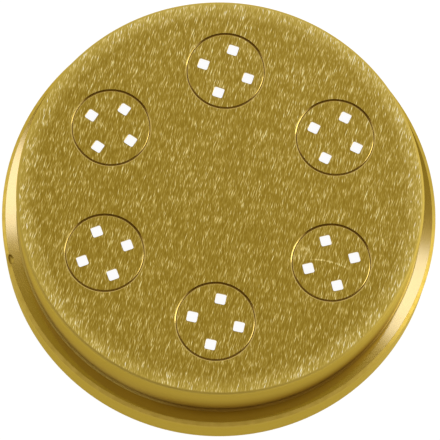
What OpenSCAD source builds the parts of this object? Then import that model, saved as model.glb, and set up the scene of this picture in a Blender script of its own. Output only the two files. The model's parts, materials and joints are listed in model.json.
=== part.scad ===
// Die for a table-top pasta extruder.
// A turned brass body holds six brass inserts, each with four square holes.
// The die lies on its back rim, z = 0, and its face looks up. All sizes are in millimetres.

/* [Body] */
// Diameter of the neck, which stands out through the machine's ring nut
neck_d = 72; // [62:0.5:90]
// Height of the neck, from the ledge to the face
neck_h = 12; // [8:0.5:20]
// Width of the flat ledge that the ring nut bears on
ledge_w = 3; // [2:0.5:6]
// Thickness of the flange, from the back rim to the ledge
flange_t = 9.5; // [6:0.5:16]
// Radius of the rounded edge of the face
face_round = 0.65; // [0.2:0.05:1.5]
// Chamfer round the top of the flange
flange_chamfer = 0.6; // [0.2:0.1:1.2]
// Chamfers inside and outside the back rim
rim_chamfer = 0.4; // [0.2:0.1:1]
// Tool radius left in the corner between the neck and the ledge
neck_fillet = 0.4; // [0.2:0.1:0.7]

/* [Dough chamber] */
// Thickness of the face plate, which holds the inserts
web_t = 8; // [6.5:0.5:12]
// Wall between the neck and the top of the chamber
neck_wall = 3.6; // [3:0.1:6]
// Width of the back rim, its two chamfers included
rim_w = 4.5; // [3:0.1:6]
// Radius in the corner between the chamber's wall and its floor
chamber_fillet = 1; // [0.4:0.1:3]
// Flat floor left between that radius and the pockets of the inserts
floor_edge = 0.4; // [0.1:0.1:2]

/* [Inserts] */
// Number of inserts
insert_count = 6; // [3:1:6]
// Direction of the first insert from the die's axis, in degrees from +X
first_azimuth = 90; // [0:1:360]
// Direction of the first hole in each insert, which was pressed in at any angle
insert_turn = [74, 66.5, 16, 80, 22.5, 58.5]; // [0:0.5:90]
// Diameter of the insert's nose, which shows in the face
nose_d = 13.7; // [11:0.1:16]
// Length of the nose, from the face to the seat of the collar
nose_l = 2.5; // [2.2:0.1:5]
// Width of the seat under the collar
seat_w = 1.2; // [0.8:0.1:2]
// Length of the collar
collar_l = 4; // [2:0.1:6]
// Wall of the nose round the top of the funnel
nose_wall = 0.85; // [0.6:0.05:1.5]
// Width of the collar's rim round the mouth of the funnel
collar_rim = 0.7; // [0.4:0.1:2]
// Radial clearance between an insert and its pocket
fit_clearance = 0.02; // [0.01:0.01:0.05]
// Broken edges of the inserts and of the pockets, which show as a fine groove in the face
edge_break = 0.18; // [0.05:0.01:0.25]

/* [Holes] */
// Holes in each insert
hole_count = 4; // [2:1:6]
// Side of a square hole
hole_side = 1.85; // [1:0.05:2.6]
// Radius in the corners of a square hole
hole_corner = 0.3; // [0.05:0.05:0.4]
// Length of the square land that forms the dough
land_l = 0.4; // [0.3:0.1:1.5]
// Thickness of the insert's front plate, from its face to the funnel
plate_t = 2; // [1.4:0.1:2.8]
// Step left between the corners of the land and the round lead-in behind it
lead_in_step = 0.1; // [0.05:0.05:0.4]
// Half angle of the lead-in's cone
lead_in_angle = 10; // [5:1:20]
// Flat left between the lead-ins and the wall of the funnel
hole_margin = 0.15; // [0.05:0.05:1]

/* [Hidden] */
$fn = 96;
// How far a cut runs past the face that it opens
overcut = 0.5;
body_h = flange_t + neck_h;
neck_r = neck_d / 2;
flange_r = neck_r + ledge_w;
floor_z = body_h - web_t;
chamber_top_r = neck_r - neck_wall;
chamber_mouth_r = flange_r - rim_w;
nose_r = nose_d / 2;
collar_r = nose_r + seat_w;
insert_l = nose_l + collar_l;
pocket_r = collar_r + fit_clearance;
pitch_r = chamber_top_r - chamber_fillet - floor_edge - pocket_r;
funnel_top_r = nose_r - nose_wall;
funnel_mouth_r = collar_r - collar_rim;
lead_in_r = hole_side / sqrt(2) + lead_in_step;
lead_in_mouth_r = lead_in_r + (plate_t - land_l) * tan(lead_in_angle);
hole_circle_r = funnel_top_r - hole_margin - lead_in_mouth_r;

// Half section of the dough chamber, which tapers from the back rim up to a flat floor.
// The corner's circle touches the floor and the sloping wall.
module chamber_section() {
    taper = atan((chamber_mouth_r - chamber_top_r) / floor_z);
    corner_r = chamber_top_r - chamber_fillet * (1 - sin(taper)) / cos(taper);
    corner_z = floor_z - chamber_fillet;
    wall_touch = [corner_r + chamber_fillet * cos(taper), corner_z + chamber_fillet * sin(taper)];
    chamfer_r = chamber_mouth_r - rim_chamfer * tan(taper);
    polygon([
        [0, -overcut],
        [chamfer_r + rim_chamfer + overcut, -overcut],
        [chamfer_r, rim_chamfer],
        wall_touch,
        [corner_r, floor_z],
        [0, floor_z]
    ]);
    translate([corner_r, corner_z])
        circle(chamber_fillet);
}

// Half section of the body before the pockets are bored.
module body_section() {
    difference() {
        union() {
            polygon([
                [0, 0],
                [flange_r - rim_chamfer, 0],
                [flange_r, rim_chamfer],
                [flange_r, flange_t - flange_chamfer],
                [flange_r - flange_chamfer, flange_t],
                [neck_r + neck_fillet, flange_t],
                [neck_r, flange_t + neck_fillet],
                [neck_r, body_h - face_round],
                [neck_r - face_round, body_h],
                [0, body_h]
            ]);
            translate([neck_r - face_round, body_h - face_round])
                circle(face_round);
        }
        translate([neck_r + neck_fillet, flange_t + neck_fillet])
            circle(neck_fillet);
        chamber_section();
    }
}

// Puts a child that hangs below z = 0 at the place of one insert, with z = 0 at the face.
module at_insert(index) {
    azimuth = first_azimuth - index * 360 / insert_count;
    translate([pitch_r * cos(azimuth), pitch_r * sin(azimuth), body_h])
        children();
}

// Stepped pocket for an insert: a bore for the nose and a counterbore for the collar.
module insert_pocket() {
    bore_r = nose_r + fit_clearance;
    rotate_extrude()
        polygon([
            [0, overcut],
            [bore_r + edge_break + overcut, overcut],
            [bore_r, -edge_break],
            [bore_r, -nose_l],
            [pocket_r, -nose_l],
            [pocket_r, -web_t - overcut],
            [0, -web_t - overcut]
        ]);
}

module die_body() {
    color("#b39a45")
        difference() {
            rotate_extrude()
                body_section();
            for (i = [0:insert_count - 1])
                at_insert(i)
                    insert_pocket();
        }
}

// Square with rounded corners, centred.
module rounded_square(side, corner) {
    square([side - 2 * corner, side], center = true);
    square([side, side - 2 * corner], center = true);
    for (x = [-1, 1], y = [-1, 1])
        translate([x * (side / 2 - corner), y * (side / 2 - corner)])
            circle(corner);
}

// One hole: the square land at the face, and behind it a conical lead-in from the funnel.
module square_hole() {
    cone_l = plate_t - land_l + overcut;
    translate([0, 0, -land_l - overcut])
        linear_extrude(land_l + 2 * overcut)
            rounded_square(hole_side, hole_corner);
    translate([0, 0, -land_l - cone_l])
        cylinder(h = cone_l, r1 = lead_in_r + cone_l * tan(lead_in_angle), r2 = lead_in_r);
}

// Half section of an insert: nose, collar and the funnel that feeds the holes.
module insert_section() {
    polygon([
        [0, 0],
        [nose_r - edge_break, 0],
        [nose_r, -edge_break],
        [nose_r, -nose_l],
        [collar_r - edge_break, -nose_l],
        [collar_r, -nose_l - edge_break],
        [collar_r, -insert_l + edge_break],
        [collar_r - edge_break, -insert_l],
        [funnel_mouth_r, -insert_l],
        [funnel_top_r, -plate_t],
        [0, -plate_t]
    ]);
}

module insert(index) {
    color("#b09844")
        at_insert(index)
            rotate(insert_turn[index])
                difference() {
                    rotate_extrude()
                        insert_section();
                    for (k = [0:hole_count - 1])
                        rotate(k * 360 / hole_count)
                            translate([hole_circle_r, 0, 0])
                                square_hole();
                }
}

die_body();
for (i = [0:insert_count - 1])
    insert(i);
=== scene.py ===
"""Looks of a brass pasta extrusion die that lies on its back rim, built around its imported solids."""
import json
import math

import bpy
from mathutils import Matrix, Vector


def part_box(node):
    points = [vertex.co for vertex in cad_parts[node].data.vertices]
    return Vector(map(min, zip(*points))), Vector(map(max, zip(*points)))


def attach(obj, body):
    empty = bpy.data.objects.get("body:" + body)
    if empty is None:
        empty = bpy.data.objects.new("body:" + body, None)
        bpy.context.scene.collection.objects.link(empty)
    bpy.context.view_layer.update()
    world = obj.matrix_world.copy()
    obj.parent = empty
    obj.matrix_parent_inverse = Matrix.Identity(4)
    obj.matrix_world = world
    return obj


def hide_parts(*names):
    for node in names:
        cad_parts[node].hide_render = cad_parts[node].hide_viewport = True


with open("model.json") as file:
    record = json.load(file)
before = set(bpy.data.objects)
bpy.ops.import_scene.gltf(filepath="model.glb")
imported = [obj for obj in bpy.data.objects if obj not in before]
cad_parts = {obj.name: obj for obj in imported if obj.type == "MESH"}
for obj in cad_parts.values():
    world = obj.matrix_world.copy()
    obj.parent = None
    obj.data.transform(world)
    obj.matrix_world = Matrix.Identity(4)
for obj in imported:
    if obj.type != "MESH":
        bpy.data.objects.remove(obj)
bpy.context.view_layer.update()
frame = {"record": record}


# Die body: one brass disc, turned from bar. The neck stands out through the ring nut of the machine,
# the nut's lip bears on the flat ledge, and the wider flange sits at the mouth of the barrel.
# The dough chamber is bored from behind, and six stepped pockets for the inserts go right through.
MM = 0.001
mounts = {mount["name"]: mount for mount in frame["record"]["mounts"]}
body_low, body_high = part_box("die_body")
neck_r = mounts["neck"]["dims"]["r_mm"]
flange_r = mounts["flange"]["dims"]["r_mm"]
flange_t = mounts["ledge"]["pos_m"][2] / MM
body_h = (body_high.z - body_low.z) / MM
face_round = 0.65
flange_chamfer = 0.6
rim_chamfer = 0.4
neck_fillet = 0.4
worn_edge = 0.12

# The back rim is 0.8 mm narrower than the solid's, so that the table shows through the far hole of insert 1.
web_t = 8.0
neck_wall = 3.6
rim_w = 3.7
floor_z = body_h - web_t
chamber_top_r = neck_r - neck_wall
chamber_mouth_r = flange_r - rim_w
chamber_fillet = 1.0
chamber_taper = (chamber_mouth_r - chamber_top_r) / floor_z
chamber_edge_r = chamber_mouth_r - rim_chamfer * chamber_taper

insert_count = 6
first_azimuth = 90.0
insert_low, insert_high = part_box("insert_1")
pitch_r = (insert_low.y + insert_high.y) / 2 / MM
nose_r = 6.85
nose_l = 2.5
collar_r = (insert_high.x - insert_low.x) / 2 / MM
fit_clearance = 0.02
pocket_edge = 0.29
edge_round = 0.2
edge_slope = math.tan(math.radians(30))
overcut = 0.5
body_segments = 288
pocket_segments = 128
corner_step = math.radians(12)


def eased(section):
    """Rounds the corners of a half section. Each of its points is a radius, a height and a corner radius."""
    line = []
    for index, (radius, height, corner) in enumerate(section):
        here = Vector((radius, height))
        if not corner:
            line.append(here)
            continue
        into = (here - Vector(section[index - 1][:2])).normalized()
        out = (Vector(section[index + 1][:2]) - here).normalized()
        turn = into.angle_signed(out)
        reach = corner * math.tan(abs(turn) / 2)
        steps = max(2, math.ceil(abs(turn) / corner_step))
        start = here - into * reach
        side = Vector((into.y, -into.x)) * math.copysign(corner, turn)
        centre = start + side
        for step in range(steps + 1):
            line.append(centre + Matrix.Rotation(-turn * step / steps, 2) @ -side)
    return line


def shell_of_rings(name, rings, finish):
    """A closed mesh through rings with equal numbers of points, capped below the first and above the last."""
    count = len(rings[0])
    points = [point for ring in rings for point in ring]
    faces = [tuple(reversed(range(count))), tuple(range(len(points) - count, len(points)))]
    for start in range(0, len(points) - count, count):
        for i in range(count):
            j = (i + 1) % count
            faces.append((start + i, start + j, start + count + j, start + count + i))
    mesh = bpy.data.meshes.new(name)
    mesh.from_pydata(points, [], faces)
    mesh.shade_smooth()
    mesh.materials.append(finish)
    piece = bpy.data.objects.new(name, mesh)
    bpy.context.scene.collection.objects.link(piece)
    return piece


def turned(name, section, segments, finish):
    """Turns a half section round the Z axis. Its first and last points lie on the axis."""
    turns = [2 * math.pi * i / segments for i in range(segments)]
    return shell_of_rings(name, [
        [(MM * r * math.cos(turn), MM * r * math.sin(turn), MM * z) for turn in turns]
        for r, z in eased(section)[1:-1]
    ], finish)


def put(tree, kind, inputs=None, stops=(), **settings):
    """Adds a node. An input that is given a socket is linked, any other is set. Stops colour a ramp."""
    node = tree.nodes.new(kind)
    for name, value in settings.items():
        setattr(node, name, value)
    for name, value in (inputs or {}).items():
        if isinstance(value, bpy.types.NodeSocket):
            tree.links.new(value, node.inputs[name])
        else:
            node.inputs[name].default_value = value
    for index, (position, colour) in enumerate(stops):
        elements = node.color_ramp.elements
        stop = elements[index] if index < len(elements) else elements.new(position)
        stop.position = position
        stop.color = colour
    return node


def along_axis(tree, place):
    """A point's place as seen along the die's axis, and its distance from that axis."""
    flat = put(tree, "ShaderNodeVectorMath", {0: place, 1: (1, 1, 0)}, operation="MULTIPLY").outputs["Vector"]
    return flat, put(tree, "ShaderNodeVectorMath", {0: flat}, operation="LENGTH").outputs["Value"]


def level_heading(degrees):
    """A level direction, given by its angle from +X."""
    return Vector((math.cos(math.radians(degrees)), math.sin(math.radians(degrees)), 0))


def linear(code):
    """An sRGB hex colour as linear RGBA."""
    values = [int(code[i:i + 2], 16) / 255 for i in (1, 3, 5)]
    return [v / 12.92 if v <= 0.04045 else ((v + 0.055) / 1.055) ** 2.4 for v in values] + [1.0]


def new_finish(name):
    """A new material with an empty node tree."""
    finish = bpy.data.materials.new(name)
    finish.use_nodes = True
    finish.node_tree.nodes.clear()
    return finish


# Brass is bare metal, and keeps its own yellow even where the eye meets it at a low angle.
bare_brass = {"Metallic": 1.0, "Specular Tint": linear("#EBD887")}
# Nearly all values of a noise texture lie between these two.
noise_low, noise_high = 0.3, 0.7

# Brass, sanded flat by hand with coarse paper once the inserts were in. It gives the eye a satin face with
# short, sparse scratches, all leaning one way and running on over the inserts. Their flashes come partly from
# their relief and partly from pale glints painted into the colour. The face is paler towards its edge, and a
# painted light makes it paler on the far side. Real scratches are 0.02 to 0.1 mm wide. They are drawn
# 0.2 mm wide, about one pixel, so that they show. The paper's bite changes a little over about 5 mm.
scratch_layers = (
    # direction from +X in degrees, length in mm, width in mm, offset that sets the layers apart
    (81, 1.9, 0.20, 0.0),
    (73, 2.6, 0.20, 0.37),
    (88, 1.5, 0.18, 0.71),
)
bite_size, bite_most = 5.0, 0.02
# The face is made paler and less yellow over its outer few millimetres.
edge_paling_r = neck_r - 3.6
edge_paling_gain = (1.5, 1.62, 2.5)
# Painted light: where it falls on the face from, and how much paler it makes the face.
painted_light_towards = level_heading(62)
painted_light_from, painted_light_full = -0.2 * neck_r, 0.8 * neck_r
painted_light_gain = (1.12, 1.14, 1.33)
sanded_brass = new_finish("brass_sanded_flat")
tree = sanded_brass.node_tree
place = put(tree, "ShaderNodeTexCoord").outputs["Object"]
flat_place, radius = along_axis(tree, place)
scratch = 0.0
for angle, length, width, offset in scratch_layers:
    along = put(tree, "ShaderNodeMapping", {
        "Vector": place,
        "Location": (offset, offset, 0),
        "Rotation": (0, 0, math.radians(angle)),
        "Scale": (length * MM, width * MM, 1),
    }, vector_type="TEXTURE").outputs["Vector"]
    grit = put(tree, "ShaderNodeTexNoise", {
        "Vector": along, "Scale": 1.0, "Detail": 1.0, "Roughness": 0.6,
    }, noise_dimensions="2D").outputs["Fac"]
    scratch = put(tree, "ShaderNodeMath", {0: scratch, 1: grit}, operation="MAXIMUM").outputs[0]
bite = put(tree, "ShaderNodeTexNoise", {
    "Vector": place, "Scale": 1 / (bite_size * MM), "Detail": 2.0,
}, noise_dimensions="2D").outputs["Fac"]
bite = put(tree, "ShaderNodeMapRange", {
    "Value": bite, "From Min": noise_low, "From Max": noise_high, "To Min": -bite_most, "To Max": bite_most,
}).outputs["Result"]
scratch = put(tree, "ShaderNodeMath", {0: scratch, 1: bite}, operation="ADD").outputs[0]

# A tool once slipped over the lower right insert. It left a rubbed spot and a long, curved scratch.
slip_centre, slip_r, slip_width = Vector((17.06, -23.28, 0)), 12.27, 0.28
slip_middle, slip_half_l, slip_deep = Vector((19.2, -11.2, 0)), 4.6, 0.13
rubbed_middle, rubbed_r, rubbed_deep = Vector((14.6, -9.8, 0)), 1.9, 0.08
slip_line = put(tree, "ShaderNodeVectorMath", {
    0: flat_place, 1: slip_centre * MM,
}, operation="DISTANCE").outputs["Value"]
slip_line = put(tree, "ShaderNodeMath", {0: slip_line, 1: slip_r * MM}, operation="SUBTRACT").outputs[0]
slip_line = put(tree, "ShaderNodeMath", {0: slip_line}, operation="ABSOLUTE").outputs[0]
slip_line = put(tree, "ShaderNodeMapRange", {
    "Value": slip_line, "From Min": slip_width * MM, "From Max": 0.0,
}, interpolation_type="SMOOTHSTEP").outputs["Result"]
for middle, half, deep, line in (
    (slip_middle, slip_half_l, slip_deep, slip_line),
    (rubbed_middle, rubbed_r, rubbed_deep, 1.0),
):
    from_middle = put(tree, "ShaderNodeVectorMath", {
        0: flat_place, 1: middle * MM,
    }, operation="DISTANCE").outputs["Value"]
    mark = put(tree, "ShaderNodeMapRange", {
        "Value": from_middle, "From Min": half * MM, "From Max": half * MM / 2, "To Max": deep,
    }, interpolation_type="SMOOTHSTEP").outputs["Result"]
    mark = put(tree, "ShaderNodeMath", {0: mark, 1: line}, operation="MULTIPLY").outputs[0]
    scratch = put(tree, "ShaderNodeMath", {0: scratch, 1: mark}, operation="ADD").outputs[0]

# The scratches stop at the rounded edge, which is plain and matt.
plain_r = neck_r - 0.6 * face_round
plain_scratch = 0.62
plain_matt = 0.25
over_edge = put(tree, "ShaderNodeMapRange", {
    "Value": radius, "From Min": (neck_r - face_round) * MM, "From Max": plain_r * MM,
}).outputs["Result"]
scratch = put(tree, "ShaderNodeMix", {
    "Factor": over_edge, "A": scratch, "B": plain_scratch,
}, data_type="FLOAT").outputs["Result"]
# The pale top stops of this ramp are painted glints: the flash of scratch walls that meet the light.
sanded_colour_and_painted_light = put(tree, "ShaderNodeValToRGB", {"Fac": scratch}, stops=(
    (0.48, linear("#927825")),
    (0.62, linear("#A18831")),
    (0.71, linear("#BAA351")),
    (0.765, linear("#E0CA7F")),
    (0.83, linear("#FFF6B8")),
)).outputs["Color"]
# Paler towards the edge.
edge_paling = put(tree, "ShaderNodeMapRange", {
    "Value": radius, "From Min": edge_paling_r * MM, "From Max": (neck_r - face_round) * MM,
}).outputs["Result"]
# Painted light: the face is made paler towards the far side, as if more light fell on it from there.
painted_light = put(tree, "ShaderNodeVectorMath", {
    0: place, 1: painted_light_towards,
}, operation="DOT_PRODUCT").outputs["Value"]
painted_light = put(tree, "ShaderNodeMapRange", {
    "Value": painted_light, "From Min": painted_light_from * MM, "From Max": painted_light_full * MM,
}).outputs["Result"]
for share, gain in ((edge_paling, edge_paling_gain), (painted_light, painted_light_gain)):
    paler = put(tree, "ShaderNodeMix", {
        "Factor": share, "A": (1, 1, 1), "B": gain,
    }, data_type="VECTOR").outputs["Result"]
    sanded_colour_and_painted_light = put(tree, "ShaderNodeVectorMath", {
        0: sanded_colour_and_painted_light, 1: paler,
    }, operation="MULTIPLY").outputs["Vector"]
sanded_gloss = put(tree, "ShaderNodeMapRange", {
    "Value": scratch, "From Min": 0.45, "From Max": 0.8, "To Min": 0.48, "To Max": 0.32,
}).outputs["Result"]
matt_edge = put(tree, "ShaderNodeMath", {0: over_edge, 1: plain_matt}, operation="MULTIPLY").outputs[0]
sanded_gloss = put(tree, "ShaderNodeMath", {0: sanded_gloss, 1: matt_edge}, operation="ADD").outputs[0]
sanded_relief = put(tree, "ShaderNodeBump", {
    "Height": scratch, "Strength": 0.6, "Distance": 0.03 * MM,
}).outputs["Normal"]
shader = put(tree, "ShaderNodeBsdfPrincipled", {
    **bare_brass, "Base Color": sanded_colour_and_painted_light, "Roughness": sanded_gloss, "Normal": sanded_relief,
})
put(tree, "ShaderNodeOutputMaterial", {"Surface": shader.outputs["BSDF"]})

# Brass, finish-turned on a lathe and rubbed bright. The fine feed lines run round the axis, so a lamp's
# reflection is drawn out across them, soft and broad, up the walls of the neck and the flange.
# The neck's foot is painted brown, most of all in front, as painted shade and a painted reflection of the
# ledge.
# Real feed lines are about 0.1 mm apart. They are drawn 0.35 mm apart, so that they show close up.
feed_gap = 0.35
# Painted shade: how high up the neck it reaches, and how much of it is left away from the front.
foot_shade_h = 9.0
foot_shade_least = 0.12
foot_shade_towards = level_heading(-68)
foot_shade_from, foot_shade_full = math.cos(math.radians(48)), math.cos(math.radians(22))
turned_brass = new_finish("brass_finish_turned")
tree = turned_brass.node_tree
place = put(tree, "ShaderNodeTexCoord").outputs["Object"]
height = put(tree, "ShaderNodeSeparateXYZ", {"Vector": place}).outputs["Z"]
flat_place, radius = along_axis(tree, place)
profile_place = put(tree, "ShaderNodeCombineXYZ", {"X": radius, "Y": height}).outputs["Vector"]
feed_lines = put(tree, "ShaderNodeTexNoise", {
    "Vector": profile_place, "Scale": 1 / (feed_gap * MM), "Detail": 1.0,
}, noise_dimensions="2D").outputs["Fac"]
turned_colour_and_shade = put(tree, "ShaderNodeValToRGB", {"Fac": feed_lines}, stops=(
    (noise_low, linear("#B29A4B")),
    (noise_high, linear("#BCA455")),
)).outputs["Color"]
near_foot = put(tree, "ShaderNodeMapRange", {
    "Value": height, "From Min": (flange_t + foot_shade_h) * MM, "From Max": flange_t * MM,
}, interpolation_type="SMOOTHSTEP").outputs["Result"]
inside_rim = put(tree, "ShaderNodeMath", {
    0: radius, 1: (flange_r - flange_chamfer) * MM,
}, operation="LESS_THAN").outputs[0]
heading = put(tree, "ShaderNodeVectorMath", {0: flat_place}, operation="NORMALIZE").outputs["Vector"]
towards_front = put(tree, "ShaderNodeVectorMath", {
    0: heading, 1: foot_shade_towards,
}, operation="DOT_PRODUCT").outputs["Value"]
in_front = put(tree, "ShaderNodeMapRange", {
    "Value": towards_front, "From Min": foot_shade_from, "From Max": foot_shade_full, "To Min": foot_shade_least,
}, interpolation_type="SMOOTHSTEP").outputs["Result"]
foot_shade = put(tree, "ShaderNodeMath", {0: near_foot, 1: inside_rim}, operation="MULTIPLY").outputs[0]
foot_shade = put(tree, "ShaderNodeMath", {0: foot_shade, 1: in_front}, operation="MULTIPLY").outputs[0]
# The colour of the painted shade at the neck's foot.
turned_colour_and_shade = put(tree, "ShaderNodeMix", {
    "Factor": foot_shade, "A": turned_colour_and_shade, "B": linear("#8A6A26"),
}, data_type="RGBA").outputs["Result"]
turned_gloss = put(tree, "ShaderNodeMapRange", {
    "Value": feed_lines, "From Min": noise_low, "From Max": noise_high, "To Min": 0.38, "To Max": 0.46,
}).outputs["Result"]
turned_relief = put(tree, "ShaderNodeBump", {
    "Height": feed_lines, "Strength": 0.15, "Distance": 0.01 * MM,
}).outputs["Normal"]
round_axis = put(tree, "ShaderNodeTangent", direction_type="RADIAL", axis="Z").outputs["Tangent"]
shader = put(tree, "ShaderNodeBsdfPrincipled", {
    **bare_brass, "Base Color": turned_colour_and_shade, "Roughness": turned_gloss, "Normal": turned_relief,
    "Anisotropic": 0.8, "Anisotropic Rotation": 0.25, "Tangent": round_axis,
})
put(tree, "ShaderNodeOutputMaterial", {"Surface": shader.outputs["BSDF"]})

# Brass, faced with a keen tool and rubbed bright where the ring nut slides, with a film of oil left on it. It
# gives the ledge pale, sharp reflections of the lamps at its sides, and in front it shows the neck, which
# turns it brown. The film's IOR is set well above an oil's 1.5, because only then are the reflections as pale
# as they should be.
rub_size = 4.0
faced_brass = new_finish("brass_faced_bright")
tree = faced_brass.node_tree
place = put(tree, "ShaderNodeTexCoord").outputs["Object"]
rubbing = put(tree, "ShaderNodeTexNoise", {
    "Vector": place, "Scale": 1 / (rub_size * MM), "Detail": 3.0,
}).outputs["Fac"]
faced_colour = put(tree, "ShaderNodeValToRGB", {"Fac": rubbing}, stops=(
    (noise_low, linear("#B59B46")),
    (noise_high, linear("#BBA14B")),
)).outputs["Color"]
faced_gloss = put(tree, "ShaderNodeMapRange", {
    "Value": rubbing, "From Min": noise_low, "From Max": noise_high, "To Min": 0.08, "To Max": 0.10,
}).outputs["Result"]
shader = put(tree, "ShaderNodeBsdfPrincipled", {
    **bare_brass, "Base Color": faced_colour, "Roughness": faced_gloss,
    "Coat Weight": 1.0, "Coat Roughness": 0.06, "Coat IOR": 2.6,
})
put(tree, "ShaderNodeOutputMaterial", {"Surface": shader.outputs["BSDF"]})

# Brass again, where a file broke the edges. The edges of a groove are keen and hold a film of oil, so that
# they draw a line round each insert that is dark towards the room and light towards the lamps.
# The top edge of the flange is handled more: dry and duller, it shows only as a soft line.
file_mark_size = 1.5
edge_finishes = {}
for name, dullest, brightest, oil in (
    ("brass_groove_edge", 0.22, 0.14, 1.0),
    ("brass_outer_edge", 0.38, 0.30, 0.0),
):
    edge_finishes[name] = new_finish(name)
    tree = edge_finishes[name].node_tree
    place = put(tree, "ShaderNodeTexCoord").outputs["Object"]
    file_marks = put(tree, "ShaderNodeTexNoise", {
        "Vector": place, "Scale": 1 / (file_mark_size * MM), "Detail": 2.0,
    }).outputs["Fac"]
    edge_colour = put(tree, "ShaderNodeValToRGB", {"Fac": file_marks}, stops=(
        (noise_low, linear("#B2973F")),
        (noise_high, linear("#BDA24A")),
    )).outputs["Color"]
    edge_gloss = put(tree, "ShaderNodeMapRange", {
        "Value": file_marks, "From Min": noise_low, "From Max": noise_high,
        "To Min": dullest, "To Max": brightest,
    }).outputs["Result"]
    shader = put(tree, "ShaderNodeBsdfPrincipled", {
        **bare_brass, "Base Color": edge_colour, "Roughness": edge_gloss,
        "Coat Weight": oil, "Coat Roughness": 0.1, "Coat IOR": 1.5,
    })
    put(tree, "ShaderNodeOutputMaterial", {"Surface": shader.outputs["BSDF"]})

# Brass, bored and left as the boring bar leaves it. Nobody sees it in use, so it is duller and a little
# darker than the outside, with coarser lines, about 0.25 mm apart on the real one and drawn 0.5 mm apart.
bar_gap = 0.5
bored_brass = new_finish("brass_bored")
tree = bored_brass.node_tree
place = put(tree, "ShaderNodeTexCoord").outputs["Object"]
height = put(tree, "ShaderNodeSeparateXYZ", {"Vector": place}).outputs["Z"]
_, radius = along_axis(tree, place)
profile_place = put(tree, "ShaderNodeCombineXYZ", {"X": radius, "Y": height}).outputs["Vector"]
bar_lines = put(tree, "ShaderNodeTexNoise", {
    "Vector": profile_place, "Scale": 1 / (bar_gap * MM), "Detail": 2.0,
}, noise_dimensions="2D").outputs["Fac"]
bored_colour = put(tree, "ShaderNodeValToRGB", {"Fac": bar_lines}, stops=(
    (noise_low, linear("#9C8235")),
    (noise_high, linear("#B0953F")),
)).outputs["Color"]
bored_relief = put(tree, "ShaderNodeBump", {
    "Height": bar_lines, "Strength": 0.4, "Distance": 0.03 * MM,
}).outputs["Normal"]
shader = put(tree, "ShaderNodeBsdfPrincipled", {
    **bare_brass, "Base Color": bored_colour, "Roughness": 0.38, "Normal": bored_relief,
})
put(tree, "ShaderNodeOutputMaterial", {"Surface": shader.outputs["BSDF"]})

body = turned("turned_body", [
    (0, floor_z, 0),
    (chamber_top_r, floor_z, chamber_fillet),
    (chamber_edge_r, rim_chamfer, worn_edge),
    (chamber_edge_r + rim_chamfer, 0, worn_edge),
    (flange_r - rim_chamfer, 0, worn_edge),
    (flange_r, rim_chamfer, worn_edge),
    (flange_r, flange_t - flange_chamfer, worn_edge),
    (flange_r - flange_chamfer, flange_t, worn_edge),
    (neck_r, flange_t, neck_fillet),
    (neck_r, body_h, face_round),
    (0, body_h, 0),
], body_segments, turned_brass)

bore_r = nose_r + fit_clearance
pocket_r = collar_r + fit_clearance
pocket_tool = turned("pocket_tool", [
    (0, body_h - web_t - overcut, 0),
    (pocket_r, body_h - web_t - overcut, 0),
    (pocket_r, body_h - nose_l, 0),
    (bore_r, body_h - nose_l, 0),
    (bore_r, body_h - pocket_edge * edge_slope, edge_round),
    (bore_r + pocket_edge + overcut, body_h + overcut * edge_slope, 0),
    (0, body_h + overcut * edge_slope, 0),
], pocket_segments, bored_brass)

# A knock has left a nick in the ledge's outer edge, at the left of the picture. Its hollow is dull.
nick_r, nick_azimuth = 38.3, math.radians(-164.5)
nick_half, nick_stretch, nick_depth = 0.75, 1.5, 0.36
nick_reach = nick_stretch * math.sqrt(nick_half ** 2 - (nick_half - nick_depth) ** 2)
nick_bands, nick_segments = 16, 32
nick_turns = [math.pi * band / nick_bands - math.pi / 2 for band in range(1, nick_bands)]
nick_tool = turned("nick_tool", [
    (0, -nick_half, 0),
    *((nick_half * math.cos(turn), nick_half * math.sin(turn), 0) for turn in nick_turns),
    (0, nick_half, 0),
], nick_segments, turned_brass)
nick_place = Matrix.Rotation(nick_azimuth, 4, "Z") @ Matrix.Translation((nick_r * MM, 0, flange_t * MM))
nick_lift = Matrix.Translation((0, 0, (nick_half - nick_depth) * MM))
nick_tool.data.transform(nick_place @ nick_lift @ Matrix.Diagonal((1, nick_stretch, 1, 1)))


def new_tree(name, sizes):
    """An empty Geometry Nodes tree with a geometry in, a geometry out and named inputs."""
    tree = bpy.data.node_groups.new(name, "GeometryNodeTree")
    tree.interface.new_socket("Geometry", in_out="INPUT", socket_type="NodeSocketGeometry")
    tree.interface.new_socket("Geometry", in_out="OUTPUT", socket_type="NodeSocketGeometry")
    for label, kind in sizes.items():
        tree.interface.new_socket(label, in_out="INPUT", socket_type="NodeSocket" + kind)
    return tree


def sharp_kept(tree, shape):
    """Keeps the sharp edges of a shape sharp."""
    bend = put(tree, "GeometryNodeInputMeshEdgeAngle").outputs["Unsigned Angle"]
    is_sharp = put(tree, "FunctionNodeCompare", {
        "A": bend, "B": sharp_from,
    }, operation="GREATER_THAN").outputs["Result"]
    return put(tree, "GeometryNodeSetShadeSmooth", {
        "Geometry": shape, "Selection": is_sharp, "Shade Smooth": False,
    }, domain="EDGE").outputs["Geometry"]


def made_plain(piece, tree, values):
    """Runs a tree on a piece, settles its normals, and leaves the result as a plain mesh."""
    modifier = piece.modifiers.new(tree.name, "NODES")
    modifier.node_group = tree
    for item in tree.interface.items_tree:
        if item.in_out == "INPUT" and item.name in values:
            modifier[item.identifier] = values[item.name]
    normals = piece.modifiers.new("flat_faces_first", "WEIGHTED_NORMAL")
    normals.keep_sharp = True
    evaluated = piece.evaluated_get(bpy.context.evaluated_depsgraph_get())
    mesh = bpy.data.meshes.new_from_object(evaluated)
    piece.modifiers.clear()
    mesh.name = piece.name
    piece.data = mesh


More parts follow.
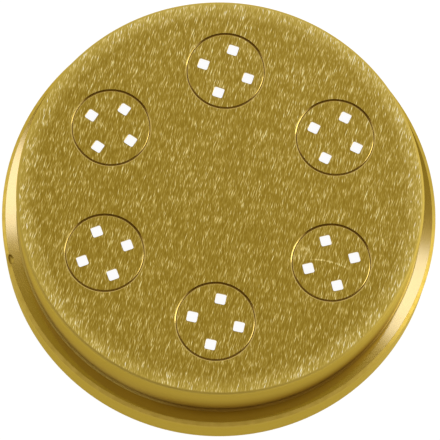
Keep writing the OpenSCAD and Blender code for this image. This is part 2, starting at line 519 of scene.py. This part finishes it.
sharp_from = math.radians(30)
level_from = 0.999
skin = 0.02 * MM
pocket_tree = new_tree("bored_pockets", {
    "Tool": "Object", "Nick": "Object", "Pockets": "Int", "Pitch radius": "Float", "Face height": "Float",
    "Chamber radius": "Float", "Edge height": "Float", "Ledge height": "Float", "Chamfer": "Float",
    "Nick place": "Vector", "Nick reach": "Float",
    "Walls": "Material", "Level": "Material", "Outer edges": "Material", "Groove edges": "Material",
    "Inside": "Material", "Face": "Material",
})
given = put(pocket_tree, "NodeGroupInput").outputs
tool, nick = (
    put(pocket_tree, "GeometryNodeObjectInfo", {
        "Object": given[label], "As Instance": False,
    }).outputs["Geometry"]
    for label in ("Tool", "Nick")
)
pitch = put(pocket_tree, "GeometryNodeMeshCircle", {
    "Vertices": given["Pockets"], "Radius": given["Pitch radius"],
}).outputs["Mesh"]
pitch = put(pocket_tree, "GeometryNodeTransform", {
    "Geometry": pitch, "Rotation": (0, 0, math.radians(first_azimuth)),
}).outputs["Geometry"]
tools = put(pocket_tree, "GeometryNodeInstanceOnPoints", {
    "Points": pitch, "Instance": tool,
}).outputs["Instances"]
cut = put(pocket_tree, "GeometryNodeMeshBoolean", {
    "Mesh 1": given["Geometry"], "Mesh 2": tools,
}, operation="DIFFERENCE", solver="EXACT")
pocket_tree.links.new(nick, cut.inputs["Mesh 2"])
plain = put(pocket_tree, "GeometryNodeRealizeInstances", {
    "Geometry": cut.outputs["Mesh"],
}).outputs["Geometry"]
dressed = sharp_kept(pocket_tree, plain)

# The body's faces are told apart by their place and slope, and each kind gets the finish of its tool.
spot = put(pocket_tree, "GeometryNodeInputPosition").outputs["Position"]
_, from_axis = along_axis(pocket_tree, spot)
height = put(pocket_tree, "ShaderNodeSeparateXYZ", {"Vector": spot}).outputs["Z"]
below_ledge = put(pocket_tree, "ShaderNodeMath", {
    0: given["Ledge height"], 1: height,
}, operation="SUBTRACT").outputs[0]
from_nick = put(pocket_tree, "ShaderNodeVectorMath", {
    0: spot, 1: given["Nick place"],
}, operation="DISTANCE").outputs["Value"]
facing = put(pocket_tree, "GeometryNodeInputNormal").outputs["Normal"]
upright = put(pocket_tree, "ShaderNodeSeparateXYZ", {"Vector": facing}).outputs["Z"]
upright = put(pocket_tree, "ShaderNodeMath", {0: upright}, operation="ABSOLUTE").outputs[0]
is_inside, is_by_nick, is_face, is_edge, is_sunk, is_level = (
    put(pocket_tree, "FunctionNodeCompare", {"A": measure, "B": limit}, operation=test).outputs["Result"]
    for measure, test, limit in (
        (from_axis, "LESS_THAN", given["Chamber radius"]),
        (from_nick, "LESS_THAN", given["Nick reach"]),
        (height, "GREATER_THAN", given["Face height"]),
        (height, "GREATER_THAN", given["Edge height"]),
        (below_ledge, "GREATER_THAN", skin),
        (upright, "GREATER_THAN", level_from),
    )
)
is_nick, is_groove = (
    put(pocket_tree, "FunctionNodeBooleanMath", {0: one, 1: other}, operation="AND").outputs["Boolean"]
    for one, other in ((is_by_nick, is_sunk), (is_edge, is_inside))
)
is_chamfer = put(pocket_tree, "ShaderNodeMath", {
    0: below_ledge, 1: given["Chamfer"], 2: given["Chamfer"],
}, operation="COMPARE").outputs[0]
# A finish that comes later in this list lies over those before it.
for chosen, finish in (
    (True, "Walls"),
    (is_chamfer, "Outer edges"),
    (is_level, "Level"),
    (is_nick, "Inside"),
    (is_edge, "Face"),
    (is_inside, "Inside"),
    (is_groove, "Groove edges"),
    (is_face, "Face"),
):
    dressed = put(pocket_tree, "GeometryNodeSetMaterial", {
        "Geometry": dressed, "Selection": chosen, "Material": given[finish],
    }).outputs["Geometry"]
put(pocket_tree, "NodeGroupOutput", {"Geometry": dressed})

made_plain(body, pocket_tree, {
    "Tool": pocket_tool,
    "Nick": nick_tool,
    "Pockets": insert_count,
    "Pitch radius": pitch_r * MM,
    "Face height": body_h * MM - skin,
    "Chamber radius": chamber_mouth_r * MM,
    "Edge height": (body_h - face_round) * MM,
    "Ledge height": flange_t * MM,
    "Chamfer": flange_chamfer / 2 * MM,
    "Nick place": nick_place.translation,
    "Nick reach": nick_reach * MM,
    "Walls": turned_brass,
    "Level": faced_brass,
    "Outer edges": edge_finishes["brass_outer_edge"],
    "Groove edges": edge_finishes["brass_groove_edge"],
    "Inside": bored_brass,
    "Face": sanded_brass,
})
bpy.data.objects.remove(pocket_tool)
bpy.data.objects.remove(nick_tool)
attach(body, "root")
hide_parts("die_body")


# Inserts: six turned brass plugs, pressed into the pockets from behind until the collar meets the step.
# A funnel leads the dough to four square holes, each with a short land at the face and a conical lead-in
# behind. They went in at any angle and were then sanded off level with the face.
insert_turn = (74.0, 66.5, 16.0, 80.0, 22.5, 58.5)
insert_l = 6.5
nose_edge = 0.17
collar_edge = 0.18
plate_t = 2.0
nose_wall = 0.85
collar_rim = 0.7
funnel_top_r = nose_r - nose_wall
funnel_mouth_r = collar_r - collar_rim
funnel_fillet = 0.18
insert_segments = 128

hole_count = 4
hole_side = 1.85
hole_corner = 0.3
hole_mouth = 0.04
hole_margin = 0.15
land_l = 0.4
lead_in_step = 0.1
lead_in_r = hole_side / math.sqrt(2) + lead_in_step
lead_in_slope = math.tan(math.radians(10))
lead_in_mouth_r = lead_in_r + (plate_t - land_l) * lead_in_slope
hole_circle_r = funnel_top_r - hole_margin - lead_in_mouth_r
side_steps = 4
corner_steps = 4


def square_ring(side, corner, z):
    """A square with rounded corners at one height, from the middle of its +X side."""
    half = side / 2
    middle = half - corner
    up_side = [(half, middle * step / side_steps) for step in range(side_steps)]
    bends = [math.pi / 2 * step / corner_steps for step in range(corner_steps + 1)]
    round_corner = [(middle + corner * math.cos(bend), middle + corner * math.sin(bend)) for bend in bends]
    quarter = up_side + round_corner + [(y, x) for x, y in reversed(up_side[1:])]
    quarters = [Matrix.Rotation(turn * math.pi / 2, 2) for turn in range(4)]
    ring = [turn @ Vector(point) for turn in quarters for point in quarter]
    return [(MM * x, MM * y, MM * z) for x, y in ring]


def round_ring(like, r, z):
    """A circle at one height, with a point in the direction of each point of another ring."""
    turns = [math.atan2(y, x) for x, y, _ in like]
    return [(MM * r * math.cos(turn), MM * r * math.sin(turn), MM * z) for turn in turns]


# Brass again, turned on a small lathe and never rubbed. It shows only from behind, as a satin a shade greyer
# than the body, with the marks of the form tool 0.15 mm apart, drawn 0.3 mm apart.
tool_mark_gap = 0.3
insert_brass = new_finish("brass_form_turned")
tree = insert_brass.node_tree
place = put(tree, "ShaderNodeTexCoord").outputs["Object"]
tool_marks = put(tree, "ShaderNodeTexNoise", {
    "Vector": place, "Scale": 1 / (tool_mark_gap * MM), "Detail": 2.0,
}).outputs["Fac"]
insert_colour = put(tree, "ShaderNodeValToRGB", {"Fac": tool_marks}, stops=(
    (noise_low, linear("#A78D40")),
    (noise_high, linear("#B89F50")),
)).outputs["Color"]
insert_relief = put(tree, "ShaderNodeBump", {
    "Height": tool_marks, "Strength": 0.2, "Distance": 0.01 * MM,
}).outputs["Normal"]
shader = put(tree, "ShaderNodeBsdfPrincipled", {
    **bare_brass, "Base Color": insert_colour, "Roughness": 0.3, "Normal": insert_relief,
})
put(tree, "ShaderNodeOutputMaterial", {"Surface": shader.outputs["BSDF"]})

land_ring = square_ring(hole_side, hole_corner, body_h - land_l)
tool_bottom = plate_t + overcut
hole_tool = shell_of_rings("hole_tool", [
    round_ring(land_ring, lead_in_r + (tool_bottom - land_l) * lead_in_slope, body_h - tool_bottom),
    round_ring(land_ring, lead_in_r, body_h - land_l),
    land_ring,
    square_ring(hole_side, hole_corner, body_h - hole_mouth),
    square_ring(hole_side + 2 * (hole_mouth + overcut), hole_corner + hole_mouth + overcut, body_h + overcut),
], insert_brass)

insert_tree = new_tree("pierced_insert", {
    "Tool": "Object", "Holes": "Int", "Hole circle radius": "Float", "Turn": "Float", "Place": "Vector",
    "Face height": "Float", "Edge height": "Float",
    "Turned": "Material", "Edge": "Material", "Face": "Material",
})
given = put(insert_tree, "NodeGroupInput").outputs
tool = put(insert_tree, "GeometryNodeObjectInfo", {
    "Object": given["Tool"], "As Instance": False,
}).outputs["Geometry"]
circle = put(insert_tree, "GeometryNodeMeshCircle", {
    "Vertices": given["Holes"], "Radius": given["Hole circle radius"],
}).outputs["Mesh"]
spot = put(insert_tree, "GeometryNodeInputPosition").outputs["Position"]
outwards = put(insert_tree, "FunctionNodeAlignRotationToVector", {
    "Vector": spot,
}, axis="X", pivot_axis="Z").outputs["Rotation"]
tools = put(insert_tree, "GeometryNodeInstanceOnPoints", {
    "Points": circle, "Instance": tool, "Rotation": outwards,
}).outputs["Instances"]
cut = put(insert_tree, "GeometryNodeMeshBoolean", {
    "Mesh 1": given["Geometry"], "Mesh 2": tools,
}, operation="DIFFERENCE", solver="EXACT").outputs["Mesh"]
plain = put(insert_tree, "GeometryNodeRealizeInstances", {"Geometry": cut}).outputs["Geometry"]
turn = put(insert_tree, "ShaderNodeCombineXYZ", {"Z": given["Turn"]}).outputs["Vector"]
plain = put(insert_tree, "GeometryNodeTransform", {
    "Geometry": plain, "Translation": given["Place"], "Rotation": turn,
}).outputs["Geometry"]
dressed = sharp_kept(insert_tree, plain)
height = put(insert_tree, "ShaderNodeSeparateXYZ", {"Vector": spot}).outputs["Z"]
is_edge, is_face = (
    put(insert_tree, "FunctionNodeCompare", {
        "A": height, "B": given[label],
    }, operation="GREATER_THAN").outputs["Result"]
    for label in ("Edge height", "Face height")
)
for chosen, finish in ((True, "Turned"), (is_edge, "Edge"), (is_face, "Face")):
    dressed = put(insert_tree, "GeometryNodeSetMaterial", {
        "Geometry": dressed, "Selection": chosen, "Material": given[finish],
    }).outputs["Geometry"]
put(insert_tree, "NodeGroupOutput", {"Geometry": dressed})

for index in range(insert_count):
    azimuth = math.radians(first_azimuth - index * 360 / insert_count)
    insert = turned(f"pressed_insert_{index + 1}", [
        (0, body_h - plate_t, 0),
        (funnel_top_r, body_h - plate_t, funnel_fillet),
        (funnel_mouth_r, body_h - insert_l, 0),
        (collar_r - collar_edge, body_h - insert_l, 0),
        (collar_r, body_h - insert_l + collar_edge, 0),
        (collar_r, body_h - nose_l - collar_edge, 0),
        (collar_r - collar_edge, body_h - nose_l, 0),
        (nose_r, body_h - nose_l, 0),
        (nose_r, body_h - nose_edge * edge_slope, edge_round),
        (nose_r - nose_edge, body_h, 0),
        (0, body_h, 0),
    ], insert_segments, insert_brass)
    made_plain(insert, insert_tree, {
        "Tool": hole_tool,
        "Holes": hole_count,
        "Hole circle radius": hole_circle_r * MM,
        "Turn": math.radians(insert_turn[index]),
        "Place": (pitch_r * MM * math.cos(azimuth), pitch_r * MM * math.sin(azimuth), 0),
        "Face height": body_h * MM - skin,
        "Edge height": (body_h - pocket_edge - edge_round) * MM,
        "Turned": insert_brass,
        "Edge": edge_finishes["brass_groove_edge"],
        "Face": sanded_brass,
    })
    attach(insert, "root")
    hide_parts(f"insert_{index + 1}")
bpy.data.objects.remove(hole_tool)


# Floor: a table, painted a matt white, that the die lies on. It shows as the white background, in the picture
# and in the brass, and a small part of it answers to the lamps, so that it keeps the die's shadow.
# It lies a hair below the back rim, so that no two faces share a plane.
floor_half, floor_gap = 3.0, 0.02 * MM
own_white = 0.96
floor = bpy.data.objects.new("white_table", bpy.data.meshes.new("white_table"))
floor.data.from_pydata([
    (x * floor_half, y * floor_half, -floor_gap) for x, y in ((-1, -1), (1, -1), (1, 1), (-1, 1))
], [], [(0, 1, 2, 3)])
bpy.context.scene.collection.objects.link(floor)
table_white = new_finish("painted_table_white")
tree = table_white.node_tree
ray = put(tree, "ShaderNodeLightPath").outputs
seen = ray["Is Camera Ray"]
for kind in ("Is Glossy Ray", "Is Transmission Ray"):
    seen = put(tree, "ShaderNodeMath", {0: seen, 1: ray[kind]}, operation="MAXIMUM").outputs[0]
seen = put(tree, "ShaderNodeMath", {0: seen, 1: own_white}, operation="MULTIPLY").outputs[0]
glow = put(tree, "ShaderNodeEmission", {"Color": linear("#FFFFFF"), "Strength": seen}).outputs["Emission"]
paint = put(tree, "ShaderNodeBsdfDiffuse", {"Color": linear("#606060")}).outputs["BSDF"]
both = put(tree, "ShaderNodeAddShader", {0: glow, 1: paint}).outputs["Shader"]
put(tree, "ShaderNodeOutputMaterial", {"Surface": both})
floor.data.materials.append(table_white)

# Light tent: white cloth at the back and above, open in front and on the left, where a dim, warm room shows.
# A strip lamp between brown flags hangs over the die, a little behind it. A soft lamp stands on the right and
# a low one on the left.
cloth = 1.0
room = 0.11
room_warm = linear("#FFD073")
room_towards = level_heading(-100)
room_from, room_full = math.cos(math.radians(80)), math.cos(math.radians(62))
room_foot, room_low, room_high, room_top = (math.sin(math.radians(angle)) for angle in (5, 28, 50, 64))
flags = 0.39
flags_warm = linear("#FFE159")
flags_towards = Vector((0.01, 0.25, 0.968)).normalized()
flags_from, flags_full = math.cos(math.radians(14)), math.cos(math.radians(7))
world = bpy.data.worlds.new("light_tent")
bpy.context.scene.world = world
world.use_nodes = True
tree = world.node_tree
tree.nodes.clear()
direction = put(tree, "ShaderNodeTexCoord").outputs["Generated"]
rise = put(tree, "ShaderNodeSeparateXYZ", {"Vector": direction}).outputs["Z"]
heading = put(tree, "ShaderNodeVectorMath", {
    0: direction, 1: (1, 1, 0),
}, operation="MULTIPLY").outputs["Vector"]
heading = put(tree, "ShaderNodeVectorMath", {0: heading}, operation="NORMALIZE").outputs["Vector"]
towards_room, towards_flags = (
    put(tree, "ShaderNodeVectorMath", {0: way, 1: middle}, operation="DOT_PRODUCT").outputs["Value"]
    for way, middle in ((heading, room_towards), (direction, flags_towards))
)
opened, above_foot, below_top, flagged = (
    put(tree, "ShaderNodeMapRange", {
        "Value": measure, "From Min": start, "From Max": full,
    }, interpolation_type="SMOOTHSTEP").outputs["Result"]
    for measure, start, full in (
        (towards_room, room_from, room_full),
        (rise, room_foot, room_low),
        (rise, room_top, room_high),
        (towards_flags, flags_from, flags_full),
    )
)
for share in (above_foot, below_top):
    opened = put(tree, "ShaderNodeMath", {0: opened, 1: share}, operation="MULTIPLY").outputs[0]
level, tint = cloth, linear("#FFFFFF")
for share, brightness, colour in ((flagged, flags, flags_warm), (opened, room, room_warm)):
    level = put(tree, "ShaderNodeMix", {
        "Factor": share, "A": level, "B": brightness,
    }, data_type="FLOAT").outputs["Result"]
    tint = put(tree, "ShaderNodeMix", {
        "Factor": share, "A": tint, "B": colour,
    }, data_type="RGBA").outputs["Result"]
sky = put(tree, "ShaderNodeBackground", {"Color": tint, "Strength": level}).outputs["Background"]
put(tree, "ShaderNodeOutputWorld", {"Surface": sky})

face_centre = Vector((0, 0, body_h * MM))
lamps = (
    # name, place, turn of its long side from +X in degrees, length and width in m, brightness (cloth is 1)
    ("lamp_strip", (0.0, 0.2105, 0.81), -13.0, 0.26, 0.043, 1.78),
    ("lamp_right", (0.75, -0.03, 0.25), 90, 0.46, 0.42, 3.0),
    ("lamp_left", (-0.75, 0.20, 0.07), 90, 0.40, 0.10, 2.2),
)
for name, spot, turn, length, width, brightness in lamps:
    lamp = bpy.data.lights.new(name, "AREA")
    lamp.shape = "RECTANGLE"
    lamp.size = length
    lamp.size_y = width
    lamp.energy = brightness * math.pi * length * width
    stand = bpy.data.objects.new(name, lamp)
    back = (Vector(spot) - face_centre).normalized()
    up = back.cross(level_heading(turn)).normalized()
    stand.matrix_world = Matrix.Translation(spot) @ Matrix((up.cross(back), up, back)).transposed().to_4x4()
    bpy.context.scene.collection.objects.link(stand)

# Camera: in front of the die and high above it, with a long lens, and turned a little on its own axis.
# Its place, turn and lens are fitted to the edges of the die in the photograph.
camera_azimuth = math.radians(-92.52)
camera_elevation = math.radians(74.17)
camera_roll = math.radians(4.93)
camera_distance = 0.554
camera_lens = 257.5
picture_px = 440
face_centre_px = (220.7, 194.9)
camera_data = bpy.data.cameras.new("camera")
camera_data.sensor_width = 36
camera_data.lens = camera_lens
camera = bpy.data.objects.new("camera", camera_data)
back = Vector((
    math.cos(camera_elevation) * math.cos(camera_azimuth),
    math.cos(camera_elevation) * math.sin(camera_azimuth),
    math.sin(camera_elevation),
))
right = Vector((-math.sin(camera_azimuth), math.cos(camera_azimuth), 0))
stance = Matrix((right, back.cross(right), back)).transposed()
focal_px = camera_lens / camera_data.sensor_width * picture_px
aim_right = math.atan((face_centre_px[0] - picture_px / 2) / focal_px)
aim_down = math.atan((picture_px / 2 - face_centre_px[1]) / focal_px)
stance = (stance @ Matrix.Rotation(camera_roll, 3, "Z")
          @ Matrix.Rotation(-aim_down, 3, "X") @ Matrix.Rotation(aim_right, 3, "Y"))
camera.matrix_world = Matrix.Translation(face_centre + back * camera_distance) @ stance.to_4x4()
bpy.context.scene.collection.objects.link(camera)
bpy.context.scene.camera = camera
bpy.context.scene.view_settings.view_transform = "Standard"
